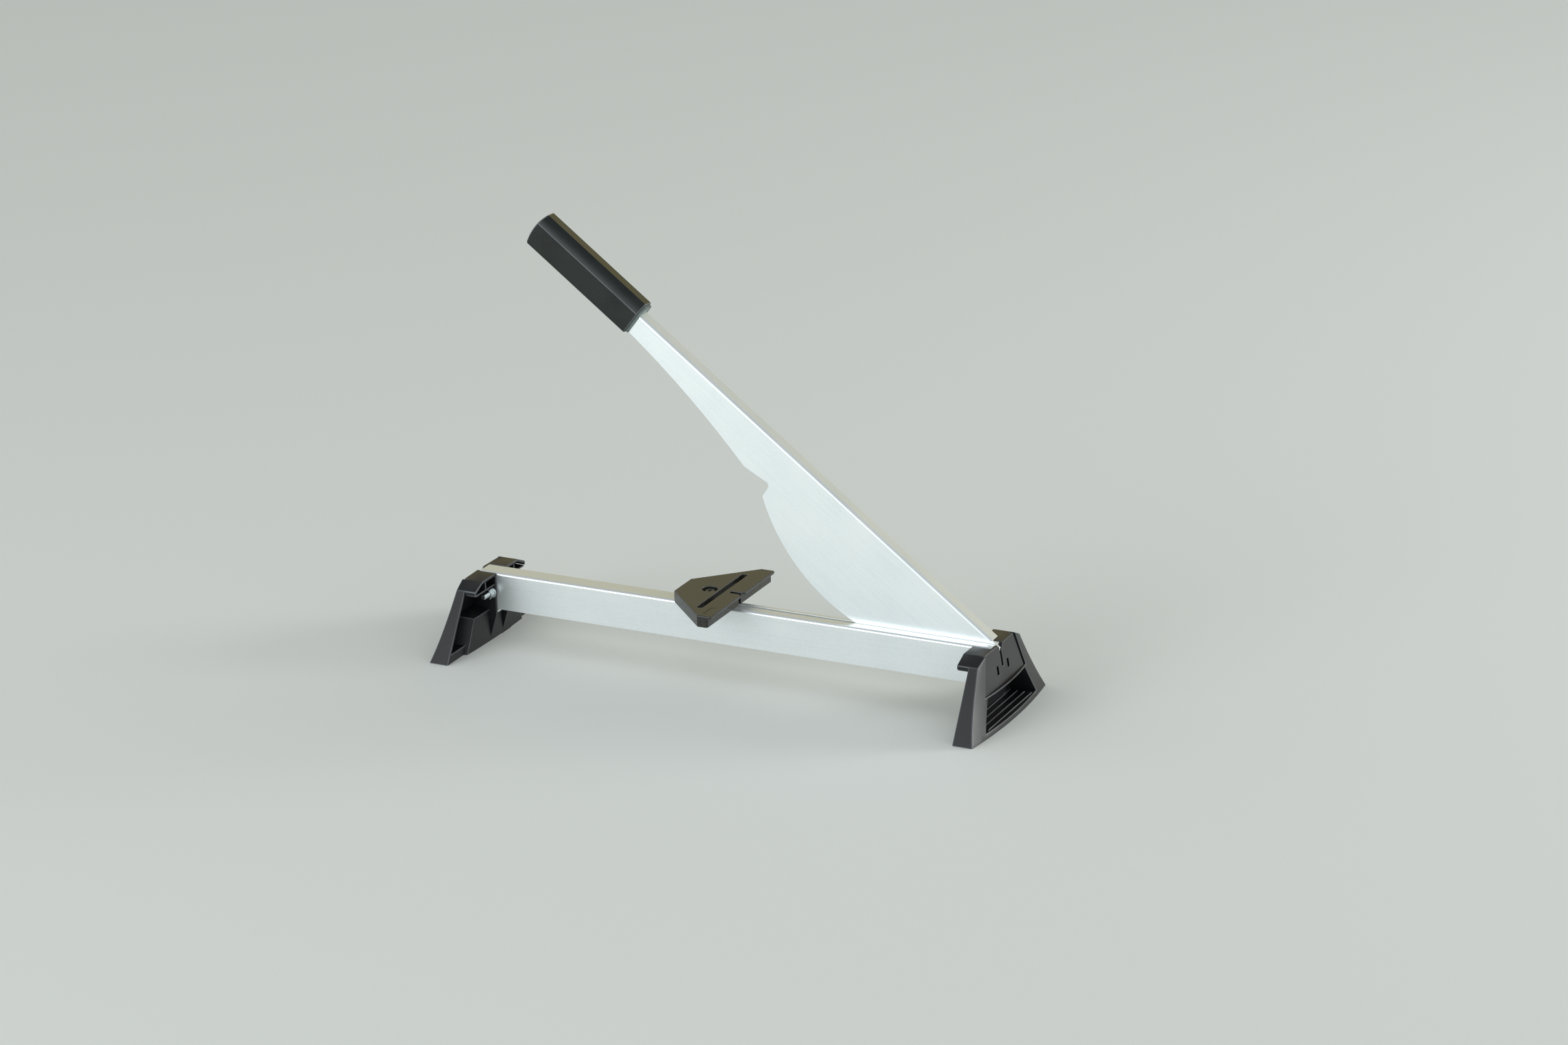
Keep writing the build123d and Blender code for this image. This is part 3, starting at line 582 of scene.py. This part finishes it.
class CUTTER_OT_fence(Operator):
    """Rounds and grains the fence plate"""
    bl_idname = "cutter.fence"
    bl_label = "Fence"

    # The engraved angle mark near the front corner: one line along the fence and one square to it
    mark_x, mark_y = -1.6 * MM, -42.9 * MM
    mark_along, mark_across = 16.8 * MM, 5.4 * MM
    mark_width, mark_depth = 0.6 * MM, 0.4 * MM

    def execute(self, context):
        colours, sizes = context.scene.cutter_colours, context.scene.cutter_sizes
        # The plate's ABS is a little lighter and warmer than the feet's, a painted reflection of the warm room, and
        # smooth from years of use
        black = moulded_plastic("Moulded black ABS plate", colours.fence_dark, colours.fence_light,
                                roughness=0.28, grain_mm=0.9, bump=0.15)
        # Its edges get the same painted highlight line as the feet's
        painted_edge_highlight = moulded_plastic("Rubbed edges of the plate", colours.highlight_line_dark, colours.highlight_line_light,
                                 roughness=0.32, grain_mm=1.6, bump=0.1)
        piece = cad_copy("stop_plate", "fence_plate")
        self.top = max(vertex.co.z for vertex in piece.data.vertices)
        for stroke in self.mark_strokes():
            fuse(piece, stroke, "DIFFERENCE")
        coat(piece, black, painted_edge_highlight)
        round_edges(piece, sizes.fence_round, weigh=self.plate_edges)
        settle(piece, "stop", "black_plastic", "stop_plate")
        return {"FINISHED"}

    def mark_strokes(self):
        """The blocks that cut the two strokes of the engraved mark."""
        x, y, half = self.mark_x, self.mark_y, self.mark_width / 2
        low, high = self.top - self.mark_depth, self.top + self.mark_depth
        yield slab("mark_along", (x - half, y - self.mark_along, low), (x + half, y + half, high))
        yield slab("mark_across", (x - half, y - half, low), (x + self.mark_across, y + half, high))

    def plate_edges(self, edge, share):
        """The engraved mark keeps sharp edges, and all others are rounded."""
        low = (self.mark_x - self.mark_width, self.mark_y - self.mark_along - self.mark_width,
               self.top - 2 * self.mark_depth)
        high = (self.mark_x + self.mark_across + self.mark_width, self.mark_y + self.mark_width,
                self.top + self.mark_depth)
        engraved = all(low[way] < corner.co[way] < high[way] for corner in edge.verts for way in range(3))
        return 0 if engraved else share


class CUTTER_OT_beam(Operator):
    """Rounds and plates the folded beam"""
    bl_idname = "cutter.beam"
    bl_label = "Beam"

    def execute(self, context):
        colours, sizes = context.scene.cutter_colours, context.scene.cutter_sizes
        # Cold-rolled steel with clear zinc plating: pale grey, smooth, faint lines along the beam
        zinc = plated_sheet("Zinc-plated rolled steel", colours.beam_dark, colours.beam_light, roughness=0.34,
                            metallic=0.7, streak_mm=1.2, length_mm=90, speckle_mm=1.6, bump=0.05)
        piece = cad_copy("beam", "folded_beam")
        coat(piece, zinc)
        round_edges(piece, sizes.sheet_round)
        settle(piece, "frame", "zinc_steel", "beam")
        return {"FINISHED"}


class CUTTER_OT_lever(Operator):
    """Rounds and plates the folded lever with its blade"""
    bl_idname = "cutter.lever"
    bl_label = "Lever and blade"

    # The rolling lines follow the lever, which leans this far at rest
    lean = radians(-37.2)

    def execute(self, context):
        colours, sizes = context.scene.cutter_colours, context.scene.cutter_sizes
        # Hardened sheet with a matt bright plating: almost white, finely speckled
        steel = plated_sheet("Bright plated sheet steel", colours.steel_dark, colours.steel_light, roughness=0.38,
                             metallic=0.8, streak_mm=1.6, length_mm=70, speckle_mm=1.4, bump=0.12,
                             turn=(0, self.lean, 0))
        piece = cad_copy("lever_blade", "lever_sheet")
        coat(piece, steel)
        round_edges(piece, sizes.sheet_round)
        settle(piece, "lever", "blade_steel", "lever_blade")
        return {"FINISHED"}


class CUTTER_OT_grip(Operator):
    """Rounds the grip's sleeve and its collar"""
    bl_idname = "cutter.grip"
    bl_label = "Grip"

    # How far a face's normal points to the front: the flat front, a face that leans back from it, and the top
    front_normal, leaning_normal, top_normal = -0.999, -0.6, -0.3
    # The share of the rounding, and so of its painted highlight, that the front ridge keeps, and the length past
    # which an edge is the crest
    ridge_share = 0.45
    crest_length = 80 * MM

    def execute(self, context):
        colours, sizes = context.scene.cutter_colours, context.scene.cutter_sizes
        # Soft-touch sleeve: satin black with a slow broad sheen
        soft = moulded_plastic("Soft-touch elastomer", colours.grip_dark, colours.grip_light,
                               roughness=0.3, grain_mm=1.4, bump=0.08, gloss=0.36)
        # Its edges get a lighter tone: a painted highlight line along each rounded edge
        grip_edge_highlight = moulded_plastic("Polished edges of elastomer", colours.highlight_line_dark, colours.highlight_line_light,
                               roughness=0.3, grain_mm=1.6, bump=0.05)
        # The grip's core is a grey-green nylon: a dull waxy half-gloss
        nylon = moulded_plastic("Grey-green nylon", colours.core_dark, colours.core_light,
                                roughness=0.45, grain_mm=0.9, bump=0.1)
        sleeve = cad_copy("grip_sleeve", "grip_outer")
        coat(sleeve, soft, grip_edge_highlight)
        round_edges(sleeve, sizes.grip_round, segments=3, weigh=self.ridge_line)
        settle(sleeve, "lever", "grip_rubber", "grip_sleeve")
        core = cad_copy("grip_core", "grip_collar")
        coat(core, nylon)
        round_edges(core, sizes.collar_round)
        settle(core, "lever", "black_plastic", "grip_core")
        return {"FINISHED"}

    def ridge_line(self, edge, share):
        """The sleeve's front face ends in a ridge with a painted highlight line, and its crest stays a crisp crease.
        """
        front, other = sorted((face.normal for face in edge.link_faces), key=lambda normal: normal.y)
        if other.z <= 0:
            return share
        if front.y < self.front_normal < other.y < self.leaning_normal:
            return self.ridge_share
        if edge.calc_length() > self.crest_length and other.y > self.top_normal:
            return 0
        return share


def bright_zinc(colours):
    """Electroplated zinc on turned and pressed steel: bright, slightly blue, with fine turning marks."""
    name = "Bright zinc on turned steel"
    if name in bpy.data.materials:
        return bpy.data.materials[name]
    return plated_sheet(name, colours.bolt_dark, colours.bolt_light, roughness=0.22, metallic=1.0, streak_mm=0.6,
                        length_mm=0.6, speckle_mm=1.2, bump=0.08)


class CUTTER_OT_bolts(Operator):
    """Makes the two cross bolts with their threads, and their nuts with turned-down corners"""
    bl_idname = "cutter.bolts"
    bl_label = "Cross bolts and nuts"

    shank_radius, bore_radius, head_height = 3.0 * MM, 3.08 * MM, 4.0 * MM
    # The bolt's chamfered end, along and across, and the chamfer of a nut's bore
    end_length, end_drop, bore_chamfer = 0.35 * MM, 0.3 * MM, 0.35 * MM
    # How far the thread shows behind the nut, where a crest starts and ends in its pitch, and its run-out
    thread_past_nut, crest_start, crest_end, run_out = 1.5 * MM, 0.45, 0.55, 0.5 * MM
    # How far the shank runs into the head, and the slack of the turned form past the hexagon
    into_head, slack, wide_slack = 0.2 * MM, 0.1 * MM, 1 * MM
    # Sides of the turned forms that take down the corners
    cap_sides = 36

    def execute(self, context):
        sizes = context.scene.cutter_sizes
        zinc = bright_zinc(context.scene.cutter_colours)
        for bolt_node, nut_node in (("foot_bolt", "foot_bolt_nut"), ("pivot_bolt", "pivot_nut")):
            bolt = self.bolt(bolt_node, nut_node, sizes)
            nut = self.nut(nut_node, sizes)
            for piece, node in ((bolt, bolt_node), (nut, nut_node)):
                smooth(piece)
                coat(piece, zinc)
                settle(piece, "frame", "zinc_steel", node)
        return {"FINISHED"}

    def bolt(self, node, nut_node, sizes):
        """A hexagon bolt along Y, its thread cut as rings from its front end to behind the nut."""
        low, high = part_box(node)
        thread_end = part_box(nut_node)[1][1] + self.thread_past_nut
        head = high[1] - self.head_height
        radius, pitch = self.shank_radius, sizes.thread_pitch
        root = radius - sizes.thread_depth
        centre = ((low[0] + high[0]) / 2, 0, (low[2] + high[2]) / 2)
        place = low[1] + self.end_length
        profile = [(low[1], root - self.end_drop), (place, root)]
        while place + pitch < thread_end:
            profile += [(place + self.crest_start * pitch, radius), (place + self.crest_end * pitch, radius),
                        (place + pitch, root)]
            place += pitch
        profile += [(place + self.run_out, radius), (head + self.into_head, radius)]
        shank = turned(node + "_shank", centre, profile)
        flats = high[2] - low[2]
        reach = corner_radius(flats)
        prism = hexagon(node + "_head", (centre[0], head, centre[2]), flats, high[1] - head)
        cap = turned(node + "_cap", centre,
                     [(head - self.slack, reach + self.wide_slack),
                      (high[1] - sizes.nut_chamfer, reach + self.slack),
                      (high[1], flats / 2 - self.slack)], sides=self.cap_sides)
        fuse(prism, cap, "INTERSECT")
        return joined(node + "_zinc", shank, prism)

    def nut(self, node, sizes):
        """A hexagon nut with its corners turned down on both faces."""
        low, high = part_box(node)
        flats, depth = high[2] - low[2], high[1] - low[1]
        centre = ((low[0] + high[0]) / 2, low[1], (low[2] + high[2]) / 2)
        prism = hexagon(node + "_zinc", centre, flats, depth)
        bore, mouth = self.bore_radius, self.bore_radius + self.bore_chamfer
        face, reach = flats / 2 - self.slack, corner_radius(flats) + self.slack
        body = turned(node + "_body", centre,
                      [(self.bore_chamfer, bore), (0, mouth), (0, face),
                       (sizes.nut_chamfer, reach), (depth - sizes.nut_chamfer, reach),
                       (depth, face), (depth, mouth), (depth - self.bore_chamfer, bore),
                       (self.bore_chamfer, bore)], closed=True, sides=self.cap_sides)
        fuse(prism, body, "INTERSECT")
        return prism


class CUTTER_OT_small_parts(Operator):
    """Rounds and plates the washers, spacers, pins and the fence's screw"""
    bl_idname = "cutter.small_parts"
    bl_label = "Washers, pins and screw"

    def execute(self, context):
        colours, sizes = context.scene.cutter_colours, context.scene.cutter_sizes
        zinc = bright_zinc(colours)
        # The fence's screw is blackened: black oxide leaves a dark, oily half-gloss
        burnished = plated_sheet("Black oxide on steel", colours.screw_dark, colours.screw_light, roughness=0.3,
                                 metallic=0.9, streak_mm=0.6, length_mm=0.6, speckle_mm=1.2, bump=0.05)
        bodies = {node: body for body, nodes in frame["record"]["behaviour"]["bodies"].items() for node in nodes}
        for node in list(frame["nodes"]):
            # The steps before this one hid the nodes that their pieces replace
            if frame["nodes"][node].hide_render:
                continue
            piece = cad_copy(node, node + "_metal")
            coat(piece, burnished if node == "stop_screw" else zinc)
            round_edges(piece, sizes.small_round)
            settle(piece, bodies[node], "zinc_steel", node)
        return {"FINISHED"}


STEPS = (CUTTER_OT_camera, CUTTER_OT_stage, CUTTER_OT_feet, CUTTER_OT_fence, CUTTER_OT_beam, CUTTER_OT_lever,
         CUTTER_OT_grip, CUTTER_OT_bolts, CUTTER_OT_small_parts)


class CUTTER_PT_panel(Panel):
    """Lists the cutter's steps and settings"""
    bl_idname = "CUTTER_PT_panel"
    bl_label = "Cutter"
    bl_space_type = "VIEW_3D"
    bl_region_type = "UI"
    bl_category = "Cutter"

    def draw(self, context):
        for group in (context.scene.cutter_stage, context.scene.cutter_sizes, context.scene.cutter_colours):
            for name in group.__annotations__:
                self.layout.prop(group, name)
        for step in STEPS:
            self.layout.operator(step.bl_idname)


CLASSES = (CutterStage, CutterSizes, CutterColours, *STEPS, CUTTER_PT_panel)


def register():
    """Registers the classes and the settings on the scene."""
    for item in CLASSES:
        bpy.utils.register_class(item)
    bpy.types.Scene.cutter_stage = PointerProperty(type=CutterStage)
    bpy.types.Scene.cutter_sizes = PointerProperty(type=CutterSizes)
    bpy.types.Scene.cutter_colours = PointerProperty(type=CutterColours)


def unregister():
    """Removes the settings and the classes."""
    del bpy.types.Scene.cutter_colours
    del bpy.types.Scene.cutter_sizes
    del bpy.types.Scene.cutter_stage
    for item in reversed(CLASSES):
        bpy.utils.unregister_class(item)


def main():
    """Builds the looks in order."""
    register()
    for step in STEPS:
        group, name = step.bl_idname.split(".")
        getattr(getattr(bpy.ops, group), name)()


if __name__ == "__main__":
    main()
